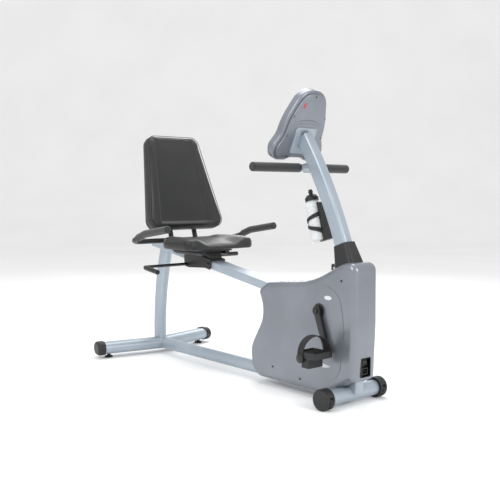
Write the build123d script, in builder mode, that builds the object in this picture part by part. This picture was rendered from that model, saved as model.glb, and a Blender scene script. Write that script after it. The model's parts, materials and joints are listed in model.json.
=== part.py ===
"""Recumbent exercise bike, modelled as it comes apart on the bench. Millimetres, +Z up, +X to the front."""
from build123d import *
import math
import os

os.makedirs("parts", exist_ok=True)

# ---------------------------------------------------------------- driving dimensions
# The origin is on the floor under the middle of the bike. The rider sits at -X and faces +X.
wall = 2.5
fit = 0.5

# base
base_z = 50.0
rear_apex_x = -667.0
rear_sweep = 11.5
rear_half_span = 359.0
rear_oval = (86.0, 60.0)
rear_cap_oval = (96.0, 70.0)
rear_cap_length = 40.0
rail_oval = (58.0, 50.0)
front_x, front_z = 697.0, 43.0
front_tube_r = 31.75
front_cap_r = 43.0
front_half_span = 183.0
front_cap_length = 43.0
wheel_r, wheel_width = 20.0, 18.0
wheel_reach, wheel_drop = 27.0, 15.0
foot_r, foot_stem_r = 21.0, 4.0

# seat post and seat rail
post_oval = (78.0, 46.0)
rail_slope = 9.65
rail_width, rail_height = 75.0, 40.5
rail_rear_x = -690.0

# drive
crank_x, crank_z = 583.0, 376.0
crank_length = 170.0
crank_angle = 20.0
crank_arm_y = 86.0
axle_r = 10.0
running = 0.05
drive_pulley_r = 108.0
small_pulley_r = 22.0
belt_y, belt_width = 50.0, 12.0
flywheel_x, flywheel_z = 375.0, 215.0
flywheel_r, flywheel_width = 108.0, 26.0

# housing
cover_half_width = 70.0
cover_edge = 24.0
cover_wall = 3.0
seam = 0.2

# mast
mast_depth, mast_width = 66.0, 48.0
mast_foot = (713.0, 300.0)
mast_knee = (652.0, 640.0)
mast_bulge = (557.6, 856.8)
mast_top = (420.0, 1093.0)
socket_bottom_z, socket_top_z = 250.0, 400.0

# console and handlebar
plate_origin = (431.0, 0.0, 1114.0)
console_tilt = 24.5
bar_x, bar_z = 405.0, 964.0
bar_half, bar_r, grip_r = 285.0, 16.0, 19.5

# bottle
bottle_tilt = 15.0
bottle_r = 32.5

# seat
seat_x = (-395.0, -130.0)
seat_z = (582.0, 642.0)
seat_half_width = 208.0
back_bottom = (-399.0, 682.0)
back_top = (-546.0, 1155.0)
back_half_bottom, back_half_top = 233.0, 157.0
back_thick_bottom, back_thick_top = 84.0, 64.0
handle_y, handle_r, seat_grip_r = 329.0, 12.5, 18.0
lever_x, lever_z, lever_y = -373.0, 499.0, -300.0
lever_r, lever_grip_r = 7.5, 11.5


# ---------------------------------------------------------------- helpers
def rail_z(x):
    """Height of the seat rail's centre line, which runs through the crank axle."""
    return crank_z + math.tan(math.radians(rail_slope)) * (crank_x - x)


def cylinder_between(start, end, radius):
    """A plain cylinder from one point to another."""
    a, b = Vector(*start), Vector(*end)
    with BuildPart(mode=Mode.PRIVATE) as rod:
        with BuildSketch(Plane(origin=a, z_dir=b - a)):
            Circle(radius)
        extrude(amount=(b - a).length)
    return rod.part


def at_y(y):
    """The XZ plane at a Y value. Its normal points to the rider's right, which is -Y."""
    return Plane.XZ.offset(-y)


def bend_path(points, radii):
    """Straight runs joined by tangent arcs, as a bent tube has."""
    with BuildLine(mode=Mode.PRIVATE) as line:
        FilletPolyline(*points, radius=radii)
    return line.line


def round_tube(path, outer, inner=0):
    """A round tube along a path, or a solid bar when there is no inner radius."""
    with BuildPart(mode=Mode.PRIVATE) as tube:
        with BuildSketch(Plane(origin=path @ 0, z_dir=path % 0)):
            Circle(outer)
            if inner:
                Circle(inner, mode=Mode.SUBTRACT)
        sweep(path=path)
    return tube.part


def finish(builder, name):
    """Labels a finished piece and writes its STEP."""
    builder.part.label = name
    export_step(builder.part, f"parts/{name}.step")


# ---------------------------------------------------------------- base tubes
rear_dir = math.radians(rear_sweep)
rear_leg = rear_half_span / math.cos(rear_dir)


def rear_point(side, along):
    """A point on the rear stabilizer's centre line, at a distance from its middle."""
    return (rear_apex_x - along * math.sin(rear_dir), side * along * math.cos(rear_dir), base_z)


def rear_plane(side, along):
    """The plane square to one leg of the rear stabilizer, with its X axis level."""
    outward = Vector(-math.sin(rear_dir), side * math.cos(rear_dir), 0)
    return Plane(origin=rear_point(side, along), z_dir=outward, x_dir=outward.cross(Vector(0, 0, 1)))


def rear_stabilizer_form(oval):
    """The swept-back V of the rear stabilizer, mitred in the middle."""
    with BuildLine(mode=Mode.PRIVATE) as v_line:
        Polyline(rear_point(-1, rear_leg - 6), rear_point(0, 0), rear_point(1, rear_leg - 6))
    with BuildPart(mode=Mode.PRIVATE) as form:
        start = rear_plane(-1, rear_leg - 6)
        with BuildSketch(Plane(origin=start.origin, z_dir=-start.z_dir, x_dir=start.x_dir)):
            SlotOverall(*oval)
        sweep(path=v_line.line, transition=Transition.RIGHT)
    return form.part


rear_outer = rear_stabilizer_form(rear_oval)
rear_inner = rear_stabilizer_form((rear_oval[0] - 2 * wall, rear_oval[1] - 2 * wall))
foot_along = rear_leg - rear_cap_length - 28

with BuildPart() as rear_stabilizer:
    add(rear_outer)
    add(rear_inner, mode=Mode.SUBTRACT)
    for side in (-1, 1):
        x, y, _ = rear_point(side, foot_along)
        add(cylinder_between((x, y, 10), (x, y, 40), foot_stem_r + running), mode=Mode.SUBTRACT)
finish(rear_stabilizer, "rear_stabilizer")

with BuildPart() as rear_caps:
    for side in (-1, 1):
        with BuildSketch(rear_plane(side, rear_leg - rear_cap_length)):
            SlotOverall(*rear_cap_oval)
        extrude(amount=rear_cap_length)
    for end in (Axis.Y, -Axis.Y):
        fillet(rear_caps.faces().sort_by(end)[-1].edges(), 14)
    add(rear_outer, mode=Mode.SUBTRACT)
finish(rear_caps, "rear_caps")

for side, name in ((-1, "rear_foot_right"), (1, "rear_foot_left")):
    x, y, _ = rear_point(side, foot_along)
    with BuildPart() as rear_foot:
        with BuildSketch(Plane(origin=(x, y, 0))):
            Circle(foot_r)
        extrude(amount=9)
        chamfer(rear_foot.faces().sort_by(Axis.Z)[-1].edges(), 3)
        with BuildSketch(Plane(origin=(x, y, 9))):
            RegularPolygon(9, 6)
        extrude(amount=8)
        with BuildSketch(Plane(origin=(x, y, 16))):
            Circle(foot_stem_r)
        extrude(amount=22)
    finish(rear_foot, name)

front_outer = cylinder_between((front_x, -146, front_z), (front_x, 146, front_z), front_tube_r)

with BuildPart() as front_stabilizer:
    add(front_outer)
    add(cylinder_between((front_x, -146, front_z), (front_x, 146, front_z), front_tube_r - wall),
        mode=Mode.SUBTRACT)
finish(front_stabilizer, "front_stabilizer")

wheel_x = front_x + wheel_reach * math.cos(math.radians(wheel_drop))
wheel_z = front_z - wheel_reach * math.sin(math.radians(wheel_drop))
wheel_y = front_half_span - 24.0
pin_reach = 12.0

with BuildPart() as front_caps:
    for side in (-1, 1):
        inner_face = side * (front_half_span - front_cap_length)
        add(cylinder_between((front_x, inner_face, front_z), (front_x, side * front_half_span, front_z),
                             front_cap_r))
    for end in (Axis.Y, -Axis.Y):
        fillet(front_caps.faces().sort_by(end)[-1].edges(), 7)
    add(front_outer, mode=Mode.SUBTRACT)
    for side in (-1, 1):
        add(cylinder_between((front_x, side * 118, front_z), (front_x, side * 147, front_z),
                             front_tube_r - wall - 0.3))
        with BuildSketch(at_y(side * wheel_y)):
            with Locations((wheel_x, wheel_z)):
                Circle(wheel_r + 2)
            with Locations((wheel_x + 20, wheel_z)):
                Rectangle(40, 2 * wheel_r + 4)
        extrude(amount=wheel_width / 2 + 1, both=True, mode=Mode.SUBTRACT)
        add(cylinder_between((wheel_x, side * (wheel_y - pin_reach), wheel_z),
                             (wheel_x, side * (wheel_y + pin_reach), wheel_z), 4), mode=Mode.SUBTRACT)
finish(front_caps, "front_caps")

with BuildPart() as wheel_pins:
    for side in (-1, 1):
        add(cylinder_between((wheel_x, side * (wheel_y - pin_reach), wheel_z),
                             (wheel_x, side * (wheel_y + pin_reach), wheel_z), 4))
finish(wheel_pins, "wheel_pins")

for side, name in ((-1, "transport_wheel_right"), (1, "transport_wheel_left")):
    y = side * wheel_y
    with BuildPart() as transport_wheel:
        with BuildSketch(at_y(y)):
            with Locations((wheel_x, wheel_z)):
                Circle(wheel_r)
                Circle(4 + running, mode=Mode.SUBTRACT)
        extrude(amount=wheel_width / 2, both=True)
        fillet(transport_wheel.edges().filter_by(GeomType.CIRCLE).group_by(SortBy.RADIUS)[-1], 3)
    finish(transport_wheel, name)

with BuildPart() as rail_form:
    with BuildSketch(Plane.YZ.offset(rear_apex_x)):
        with Locations((0, base_z + 1)):
            SlotOverall(*rail_oval, rotation=90)
    extrude(amount=front_x - rear_apex_x)

with BuildPart() as base_rail:
    add(rail_form)
    with BuildSketch(Plane.YZ.offset(rear_apex_x)):
        with Locations((0, base_z + 1)):
            SlotOverall(rail_oval[0] - 2 * wall, rail_oval[1] - 2 * wall, rotation=90)
    extrude(amount=front_x - rear_apex_x, mode=Mode.SUBTRACT)
    add(rear_outer, mode=Mode.SUBTRACT)
    add(front_outer, mode=Mode.SUBTRACT)
finish(base_rail, "base_rail")

# ---------------------------------------------------------------- seat rail and rear post
slope = math.radians(rail_slope)
rail_dir = Vector(math.cos(slope), 0, -math.sin(slope))
rail_up = Vector(math.sin(slope), 0, math.cos(slope))
rail_start = Vector(rail_rear_x, 0, rail_z(rail_rear_x))
rail_length = (crank_x - rail_rear_x) / math.cos(slope)
shell_r, shell_bore, shell_half = 25.0, 21.0, 38.0


def rail_section(offset, grow=0.0):
    """The seat rail's rounded rectangle, square to the rail, at a distance along it."""
    with BuildSketch(Plane(origin=rail_start + rail_dir * offset, z_dir=rail_dir,
                           x_dir=(0, 1, 0)), mode=Mode.PRIVATE) as section:
        RectangleRounded(rail_width + 2 * grow, rail_height + 2 * grow, 6 + grow)
    return section.sketch


with BuildPart() as seat_rail_form:
    extrude(rail_section(0), amount=rail_length, dir=rail_dir)

with BuildPart() as seat_rail_space:
    extrude(rail_section(600, fit), amount=rail_length - 600, dir=rail_dir)

shell_form = cylinder_between((crank_x, -shell_half, crank_z), (crank_x, shell_half, crank_z), shell_r)

with BuildPart() as seat_rail:
    add(seat_rail_form)
    extrude(rail_section(0, -wall), amount=rail_length, dir=rail_dir, mode=Mode.SUBTRACT)
    add(shell_form, mode=Mode.SUBTRACT)
finish(seat_rail, "seat_rail")

with BuildPart() as seat_rail_cap:
    extrude(rail_section(-5), amount=5, dir=rail_dir)
    chamfer(seat_rail_cap.faces().sort_by(Axis(rail_start, rail_dir))[0].edges(), 1.5)
    extrude(rail_section(0, -wall - 0.2), amount=18, dir=rail_dir)
finish(seat_rail_cap, "seat_rail_cap")

with BuildPart() as rear_post:
    with BuildLine(Plane.XZ) as post_line:
        ThreePointArc((-678, 62), (-669, 290), (-608, 575))
    with BuildSketch(Plane(origin=post_line.line @ 0, z_dir=post_line.line % 0, x_dir=(0, 1, 0))):
        SlotOverall(*post_oval, rotation=90)
        SlotOverall(post_oval[0] - 2 * wall, post_oval[1] - 2 * wall, rotation=90, mode=Mode.SUBTRACT)
    sweep(path=post_line.line)
    add(seat_rail_form, mode=Mode.SUBTRACT)
    add(rail_form, mode=Mode.SUBTRACT)
    add(rear_outer, mode=Mode.SUBTRACT)
    split(bisect_by=Plane(origin=rail_start, z_dir=rail_up), keep=Keep.BOTTOM)
finish(rear_post, "rear_post")

# ---------------------------------------------------------------- mast and drive frame
with BuildLine(Plane.XZ) as mast_line:
    RadiusArc(mast_foot, mast_knee, -975)
    ThreePointArc(mast_knee, mast_bulge, mast_top)


def mast_form(grow):
    """The mast's rounded rectangle swept up its curve."""
    with BuildPart(mode=Mode.PRIVATE) as form:
        with BuildSketch(Plane(origin=mast_line.line @ 0, z_dir=(0, 0, 1), x_dir=(0, 1, 0))):
            RectangleRounded(mast_width + 2 * grow, mast_depth + 2 * grow, 11 + grow)
        sweep(path=mast_line.line)
    return form.part


tilt = math.radians(console_tilt)
plate_plane = Plane(origin=plate_origin, x_dir=(0, 1, 0), z_dir=(math.cos(tilt), 0, -math.sin(tilt)))
plate_axis = Axis(plate_origin, plate_plane.z_dir)
mast_outer = mast_form(0)
mast_space = mast_form(0.6)

with BuildPart() as mast:
    add(mast_outer)
    add(mast_form(-wall), mode=Mode.SUBTRACT)
    split(bisect_by=plate_plane, keep=Keep.TOP)
finish(mast, "mast")

post_top_z = mast_foot[1] - 1.0

with BuildPart() as drive_frame:
    # front post, coped onto the stabilizer and the base rail
    with BuildSketch(Plane.XY.offset(base_z)):
        with Locations((mast_foot[0], 0)):
            RectangleRounded(mast_depth, mast_width, 8)
    extrude(amount=post_top_z - base_z)
    # socket that the mast drops into
    with BuildSketch(Plane.XY.offset(socket_bottom_z)):
        with Locations((mast_foot[0], 0)):
            RectangleRounded(mast_depth + 12, mast_width + 12, 14)
    extrude(amount=post_top_z - socket_bottom_z)
    with BuildSketch(Plane.XY.offset(post_top_z)):
        with Locations((mast_foot[0] - 2, 0)):
            RectangleRounded(mast_depth + 18, mast_width + 12, 14)
    extrude(amount=socket_top_z - post_top_z)
    # bracket that holds the bottom bracket shell to the post
    with BuildSketch(Plane.XZ.offset(-20)):
        with BuildLine():
            Polyline((crank_x, crank_z + 20), (690, 330), (690, 250), (crank_x - 12, crank_z - 20),
                     close=True)
        make_face()
    extrude(amount=40)
    add(shell_form)
    add(cylinder_between((crank_x, -50, crank_z), (crank_x, 50, crank_z), shell_bore), mode=Mode.SUBTRACT)
    # inside of the front post
    with BuildSketch(Plane.XY.offset(base_z)):
        with Locations((mast_foot[0], 0)):
            RectangleRounded(mast_depth - 8, mast_width - 8, 4)
    extrude(amount=post_top_z - base_z - 6, mode=Mode.SUBTRACT)
    # flywheel lugs on the base rail
    for side in (-1, 1):
        with BuildSketch(at_y(side * 30)):
            with BuildLine():
                Polyline((flywheel_x - 38, 66), (flywheel_x + 38, 66), (flywheel_x + 22, flywheel_z),
                         (flywheel_x - 22, flywheel_z), close=True)
            make_face()
            with Locations((flywheel_x, flywheel_z)):
                Circle(22)
        extrude(amount=side * 6)
    with BuildSketch(Plane.XY.offset(76)):
        with Locations((flywheel_x, 0)):
            Rectangle(76, 60)
    extrude(amount=6)
    add(cylinder_between((flywheel_x, -40, flywheel_z), (flywheel_x, 40, flywheel_z), 7), mode=Mode.SUBTRACT)
    add(rail_form, mode=Mode.SUBTRACT)
    add(front_outer, mode=Mode.SUBTRACT)
    add(mast_outer, mode=Mode.SUBTRACT)
finish(drive_frame, "drive_frame")

# ---------------------------------------------------------------- drive
with BuildPart() as crank_bearings:
    for side in (-1, 1):
        y = side * 31.0
        with BuildSketch(at_y(y)):
            with Locations((crank_x, crank_z)):
                Circle(shell_bore)
                Circle(axle_r + running, mode=Mode.SUBTRACT)
        extrude(amount=6, both=True)
finish(crank_bearings, "crank_bearings")

with BuildPart() as crank_axle:
    add(cylinder_between((crank_x, -crank_arm_y - 7, crank_z), (crank_x, crank_arm_y + 7, crank_z), axle_r))
finish(crank_axle, "crank_axle")

with BuildPart() as drive_pulley:
    with BuildSketch(Plane.XZ.offset(-belt_y)):
        with Locations((crank_x, crank_z)):
            Circle(drive_pulley_r)
            Circle(axle_r, mode=Mode.SUBTRACT)
    extrude(amount=belt_width / 2 + 1, both=True)
    with BuildSketch(Plane.XZ.offset(-belt_y + 4)):
        with Locations((crank_x, crank_z)):
            Circle(drive_pulley_r - 12)
            Circle(26, mode=Mode.SUBTRACT)
    extrude(amount=-6, mode=Mode.SUBTRACT)
    with BuildSketch(Plane.XZ.offset(-belt_y)):
        with Locations((crank_x, crank_z)):
            with PolarLocations(62, 6):
                Circle(18)
    extrude(amount=12, both=True, mode=Mode.SUBTRACT)
finish(drive_pulley, "drive_pulley")

with BuildPart() as flywheel:
    with BuildSketch(Plane.XZ):
        with Locations((flywheel_x, flywheel_z)):
            Circle(flywheel_r)
            Circle(flywheel_r - 26, mode=Mode.SUBTRACT)
    extrude(amount=flywheel_width / 2, both=True)
    with BuildSketch(Plane.XZ):
        with Locations((flywheel_x, flywheel_z)):
            Circle(flywheel_r - 20)
    extrude(amount=5, both=True)
    with BuildSketch(Plane.XZ.offset(20)):
        with Locations((flywheel_x, flywheel_z)):
            Circle(15)
    extrude(amount=-40)
    # axle turning with the wheel, and the belt pulley at its left end
    add(cylinder_between((flywheel_x, -20, flywheel_z), (flywheel_x, 58, flywheel_z), 5.5))
    add(cylinder_between((flywheel_x, belt_y - 7, flywheel_z), (flywheel_x, belt_y + 7, flywheel_z),
                         small_pulley_r))
    add(cylinder_between((flywheel_x, -36, flywheel_z), (flywheel_x, -20, flywheel_z), 5.5))
finish(flywheel, "flywheel")

with BuildPart() as flywheel_bearings:
    for side in (-1, 1):
        y = side * 27.0
        with BuildSketch(at_y(y)):
            with Locations((flywheel_x, flywheel_z)):
                Circle(7)
                Circle(5.5 + running, mode=Mode.SUBTRACT)
        extrude(amount=3, both=True)
finish(flywheel_bearings, "flywheel_bearings")

belt_gap = 0.4


def belt_outline(grow):
    """The belt's closed path round both pulleys, as a face."""
    with BuildSketch(Plane.XZ.offset(-belt_y), mode=Mode.PRIVATE) as face:
        with Locations((crank_x, crank_z)):
            Circle(drive_pulley_r + grow)
        with Locations((flywheel_x, flywheel_z)):
            Circle(small_pulley_r + grow)
        make_hull()
    return face.sketch


with BuildPart() as drive_belt:
    extrude(belt_outline(belt_gap + 3), amount=belt_width / 2, both=True)
    extrude(belt_outline(belt_gap), amount=belt_width / 2, both=True, mode=Mode.SUBTRACT)
finish(drive_belt, "drive_belt")

with BuildPart() as magnet_brake:
    with BuildSketch(Plane.XZ):
        with BuildLine():
            inner_arc = CenterArc((flywheel_x, flywheel_z), flywheel_r + 3, -62, 48)
            outer_arc = CenterArc((flywheel_x, flywheel_z), flywheel_r + 17, -62, 48)
            Line(inner_arc @ 0, outer_arc @ 0)
            Line(inner_arc @ 1, outer_arc @ 1)
        make_face()
    extrude(amount=19, both=True)
    with BuildSketch(Plane.XY.offset(76)):
        with Locations((470, 0)):
            Rectangle(34, 30)
    extrude(amount=48)
    add(cylinder_between((flywheel_x, -40, flywheel_z), (flywheel_x, 40, flywheel_z), flywheel_r + 3),
        mode=Mode.SUBTRACT)
    add(rail_form, mode=Mode.SUBTRACT)
finish(magnet_brake, "magnet_brake")


def pedal_axis(side):
    """X and Z of a pedal's spindle."""
    swing = math.radians(crank_angle)
    return crank_x - side * crank_length * math.sin(swing), crank_z + side * crank_length * math.cos(swing)


hub_half, tip_half, arm_half_thick = 15.0, 12.0, 7.0
spindle_r = 7.0

for side, name in ((-1, "crank_arm_right"), (1, "crank_arm_left")):
    pedal_x, pedal_z = pedal_axis(side)
    hub, tip = Vector(crank_x, crank_z), Vector(pedal_x, pedal_z)
    across = Vector(-(tip - hub).Y, (tip - hub).X).normalized()
    with BuildPart() as crank_arm:
        with BuildSketch(at_y(side * crank_arm_y)):
            with BuildLine():
                Polyline(hub + across * hub_half, hub - across * hub_half, tip - across * tip_half,
                         tip + across * tip_half, close=True)
            make_face()
            with Locations(hub):
                Circle(hub_half + 5)
            with Locations(tip):
                Circle(tip_half + 2)
        extrude(amount=arm_half_thick, both=True)
        fillet(crank_arm.faces().sort_by(Axis.Y)[0 if side < 0 else -1].edges(), 3)
        add(cylinder_between((crank_x, -130, crank_z), (crank_x, 130, crank_z), axle_r), mode=Mode.SUBTRACT)
        add(cylinder_between((pedal_x, -130, pedal_z), (pedal_x, 130, pedal_z), spindle_r),
            mode=Mode.SUBTRACT)
    finish(crank_arm, name)

with BuildPart() as crank_bolts:
    for side in (-1, 1):
        y = side * (crank_arm_y + 7)
        with BuildSketch(at_y(y)):
            with Locations((crank_x, crank_z)):
                Circle(11.5)
        extrude(amount=-side * 6)
    chamfer(crank_bolts.faces().sort_by(Axis.Y)[0].edges(), 1.5)
    chamfer(crank_bolts.faces().sort_by(Axis.Y)[-1].edges(), 1.5)
finish(crank_bolts, "crank_bolts")

pedal_inner, pedal_outer = 110.0, 208.0
strap_half, strap_thick = 49.3, 3.2
pedal_mid = (pedal_inner + pedal_outer) / 2

with BuildPart() as pedal_spindles:
    for side in (-1, 1):
        x, z = pedal_axis(side)
        add(cylinder_between((x, side * (crank_arm_y - 7), z), (x, side * (pedal_outer - 8), z), 7))
        add(cylinder_between((x, side * (crank_arm_y + 7), z), (x, side * (pedal_inner - 1), z), 10))
finish(pedal_spindles, "pedal_spindles")

for side, hand in ((-1, "right"), (1, "left")):
    x, z = pedal_axis(side)
    y_in, y_out = side * pedal_inner, side * pedal_outer
    with BuildPart() as pedal:
        # platform with two windows, and the weight below that keeps it level
        with BuildSketch(Plane.XY.offset(z - 12)):
            with Locations((x, side * pedal_mid)):
                RectangleRounded(100, pedal_outer - pedal_inner, 8)
                with Locations((-31, 0), (31, 0)):
                    RectangleRounded(22, 66, 4, mode=Mode.SUBTRACT)
        extrude(amount=24)
        with BuildSketch(Plane.XY.offset(z - 52)):
            with Locations((x - 8, side * (pedal_mid + 3))):
                RectangleRounded(44, 82, 6)
        extrude(amount=42)
        add(cylinder_between((x, y_in, z), (x, y_out - side * 7, z), 7 + running), mode=Mode.SUBTRACT)
    finish(pedal, f"pedal_{hand}")

    # strap over the foot: an arch on two straight sides, trimmed to a skewed, tapering band from above
    with BuildPart() as pedal_strap:
        with BuildSketch(Plane.YZ.offset(x - 60)):
            for grow, join in ((strap_thick, Mode.ADD), (0, Mode.SUBTRACT)):
                with Locations((side * pedal_mid, z + 14)):
                    Ellipse(strap_half + grow, 61 + grow, mode=join)
                    with Locations((0, -36.5)):
                        Rectangle(2 * (strap_half + grow), 73, mode=join)
            with Locations((side * pedal_mid, z - 60)):
                Rectangle(160, 100, mode=Mode.SUBTRACT)
        extrude(amount=120)
        with BuildSketch(Plane.XY.offset(z - 30)):
            with BuildLine():
                Polyline((x + 16, side * 100), (x + 49, side * 100), (x - 12, side * 218),
                         (x - 45, side * 218), close=True)
            make_face()
        extrude(amount=140, mode=Mode.INTERSECT)
        with BuildSketch(at_y(side * (pedal_mid + strap_half))):
            with Locations((x - 28, z - 16)):
                RectangleRounded(40, 44, 14)
        extrude(amount=-side * strap_thick)
    finish(pedal_strap, f"pedal_strap_{hand}")

# ---------------------------------------------------------------- housing
# corner of the side outline and the radius it is rounded to
housing_corners = [
    ((194.0, 424.0), 22.0),
    ((238.0, 324.0), 130.0),
    ((140.0, 162.0), 110.0),
    ((158.0, 31.0), 66.0),
    ((600.0, 29.0), 180.0),
    ((767.0, 109.0), 24.0),
    ((777.0, 330.0), 900.0),
    ((774.0, 580.0), 34.0),
    ((706.0, 580.0), 80.0),
    ((530.0, 492.0), 420.0),
    ((254.0, 463.0), 40.0),
]


def housing_face(inset):
    """Side outline of the housing, brought in by an inset."""
    with BuildSketch(Plane.XZ, mode=Mode.PRIVATE) as face:
        with BuildLine():
            FilletPolyline(*[corner for corner, _ in housing_corners], close=True,
                           radius=[radius for _, radius in housing_corners])
        make_face()
        if inset:
            offset(amount=-inset, kind=Kind.INTERSECTION, mode=Mode.REPLACE)
    return face.sketch


with BuildPart() as housing_form:
    extrude(housing_face(0), amount=cover_half_width)
    fillet(housing_form.faces().sort_by(Axis.Y)[0].edges(), cover_edge)

with BuildPart() as housing_hollow:
    extrude(housing_face(cover_wall), amount=cover_half_width - cover_wall)
    fillet(housing_hollow.faces().sort_by(Axis.Y)[0].edges(), cover_edge - cover_wall)

housing_half = {-1: housing_form.part, 1: housing_form.part.mirror(Plane.XZ)}
hollow_half = {-1: housing_hollow.part, 1: housing_hollow.part.mirror(Plane.XZ)}

panel_y, panel_z = 4.0, 160.0
panel_x, panel_width, panel_height = 755.0, 58.0, 80.0

with BuildPart() as panel_space:
    with BuildSketch(Plane.YZ.offset(panel_x - 14)):
        with Locations((panel_y, panel_z)):
            RectangleRounded(panel_width, panel_height, 5)
    extrude(amount=60)

with BuildPart() as post_space:
    with BuildSketch(Plane.XY.offset(base_z)):
        with Locations((mast_foot[0], 0)):
            RectangleRounded(mast_depth + 2 * fit, mast_width + 2 * fit, 8)
    extrude(amount=120)

with BuildPart() as rail_space:
    with BuildSketch(Plane.YZ.offset(0)):
        with Locations((0, base_z + 1)):
            SlotOverall(rail_oval[0] + 2 * fit, rail_oval[1] + 2 * fit, rotation=90)
    extrude(amount=700)

tube_space = cylinder_between((front_x, -cover_half_width - 9, front_z),
                              (front_x, cover_half_width + 9, front_z), front_tube_r + 1)
cover_spaces = (seat_rail_space.part, rail_space.part, post_space.part, mast_space, panel_space.part,
                tube_space)

# raised oval on each side of the housing: corner of its outline and the radius it is rounded to
relief_rise = 1.6
relief_corners = [
    ((286.0, 96.0), 40.0),
    ((256.0, 214.0), 110.0),
    ((400.0, 372.0), 400.0),
    ((560.0, 482.0), 160.0),
    ((690.0, 474.0), 90.0),
    ((724.0, 300.0), 500.0),
    ((690.0, 96.0), 70.0),
]
with BuildPart() as relief:
    with BuildSketch(at_y(-cover_half_width + cover_wall)):
        with BuildLine():
            FilletPolyline(*[corner for corner, _ in relief_corners], close=True,
                           radius=[radius for _, radius in relief_corners])
        make_face()
    extrude(amount=cover_wall + relief_rise)
relief_half = {-1: relief.part, 1: relief.part.mirror(Plane.XZ)}

ring_bore = 15.0
for side, name in ((-1, "right_cover"), (1, "left_cover")):
    with BuildPart() as cover:
        add(housing_half[side])
        add(hollow_half[side], mode=Mode.SUBTRACT)
        add(relief_half[side])
        for space in cover_spaces:
            add(space, mode=Mode.SUBTRACT)
        add(cylinder_between((crank_x, -120, crank_z), (crank_x, 120, crank_z), ring_bore),
            mode=Mode.SUBTRACT)
        with BuildSketch(Plane.XZ.offset(seam / 2)):
            Rectangle(2000, 3000)
        extrude(amount=-seam, mode=Mode.SUBTRACT)
    finish(cover, name)

with BuildPart() as crank_rings:
    for side in (-1, 1):
        ring_from = side * (cover_half_width + relief_rise)
        add(cylinder_between((crank_x, ring_from, crank_z), (crank_x, ring_from + side * 4, crank_z), 30))
        add(cylinder_between((crank_x, side * (cover_half_width - 4), crank_z), (crank_x, ring_from, crank_z),
                             ring_bore))
    chamfer(crank_rings.faces().sort_by(Axis.Y)[0].edges(), 2)
    chamfer(crank_rings.faces().sort_by(Axis.Y)[-1].edges(), 2)
    add(cylinder_between((crank_x, -130, crank_z), (crank_x, 130, crank_z), axle_r + 1), mode=Mode.SUBTRACT)
finish(crank_rings, "crank_rings")

with BuildPart() as power_panel:
    with BuildSketch(Plane.YZ.offset(panel_x - 7)):
        with Locations((panel_y, panel_z)):
            RectangleRounded(panel_width - 0.6, panel_height - 0.6, 5)
    extrude(amount=24)
    with BuildSketch(Plane.YZ.offset(panel_x - 2)):
        with Locations((panel_y, panel_z)):
            RectangleRounded(panel_width - 6, panel_height - 6, 3)
    extrude(amount=30, mode=Mode.SUBTRACT)
    # inlet shroud with its three blades, and the well of the rocker switch
    with BuildSketch(Plane.YZ.offset(panel_x - 2)):
        with Locations((panel_y, panel_z - 16)):
            RectangleRounded(34, 26, 3)
            RectangleRounded(28, 20, 2, mode=Mode.SUBTRACT)
            with Locations((-7, -2), (7, -2), (0, 4)):
                Rectangle(2, 5)
    extrude(amount=13)
    with BuildSketch(Plane.YZ.offset(panel_x - 2)):
        with Locations((panel_y, panel_z + 20)):
            RectangleRounded(30, 22, 2)
            RectangleRounded(26, 18, 1.5, mode=Mode.SUBTRACT)
    extrude(amount=10)
finish(power_panel, "power_panel")

switch_x, switch_z = panel_x + 2.0, panel_z + 20
with BuildPart() as power_switch:
    with BuildSketch(Plane.XZ.offset(-panel_y + 12)):
        with BuildLine():
            Polyline((switch_x - 1, switch_z - 6), (switch_x + 9.5, switch_z - 7), (switch_x + 6.5, switch_z),
                     (switch_x + 9.5, switch_z + 7), (switch_x - 1, switch_z + 6), close=True)
        make_face()
    extrude(amount=-24)
finish(power_switch, "power_switch")

with BuildPart() as boot_form:
    with BuildSketch(Plane(origin=(686, 0, 548), z_dir=(-0.33, 0, 0.944), x_dir=(0, 1, 0))):
        RectangleRounded(90, 108, 22)
    with BuildSketch(Plane(origin=(652, 0, 650), z_dir=(-0.33, 0, 0.944), x_dir=(0, 1, 0))):
        RectangleRounded(62, 78, 16)
    loft()

with BuildPart() as mast_boot:
    add(boot_form)
    fillet(mast_boot.faces().sort_by(Axis.Z)[-1].edges(), 2)
    add(mast_form(0.3), mode=Mode.SUBTRACT)
    add(housing_half[-1], mode=Mode.SUBTRACT)
    add(housing_half[1], mode=Mode.SUBTRACT)
finish(mast_boot, "mast_boot")

screw_spots = [(703, 508), (300, 94), (472, 70)]
with BuildPart() as cover_screws:
    for side in (-1, 1):
        for x, z in screw_spots:
            with BuildSketch(at_y(side * cover_half_width)):
                with Locations((x, z)):
                    Circle(4.5)
            extrude(amount=-side * 2)
finish(cover_screws, "cover_screws")

# ---------------------------------------------------------------- console
# corner of the right half of the console and the radius it is rounded to, in the plate's plane
console_corners = [
    ((66.0, 176.0), 80.0),
    ((118.0, 40.0), 290.0),
    ((122.0, -28.0), 90.0),
    ((150.0, -80.0), 45.0),
    ((128.0, -137.0), 42.0),
    ((60.0, -137.0), 48.0),
    ((34.0, -124.0), 48.0),
]


def console_face(level, inset=0.0):
    """Console outline at a level along the plate's outward normal: a round top and two lower lobes."""
    left_half = [((-x, y), radius) for (x, y), radius in reversed(console_corners)]
    corners = console_corners + left_half
    with BuildSketch(plate_plane.offset(level), mode=Mode.PRIVATE) as face:
        with BuildLine():
            FilletPolyline(*[corner for corner, _ in corners], close=True,
                           radius=[radius for _, radius in corners])
        make_face()
        if inset:
            offset(amount=-inset, kind=Kind.INTERSECTION, mode=Mode.REPLACE)
    return face.sketch


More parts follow.
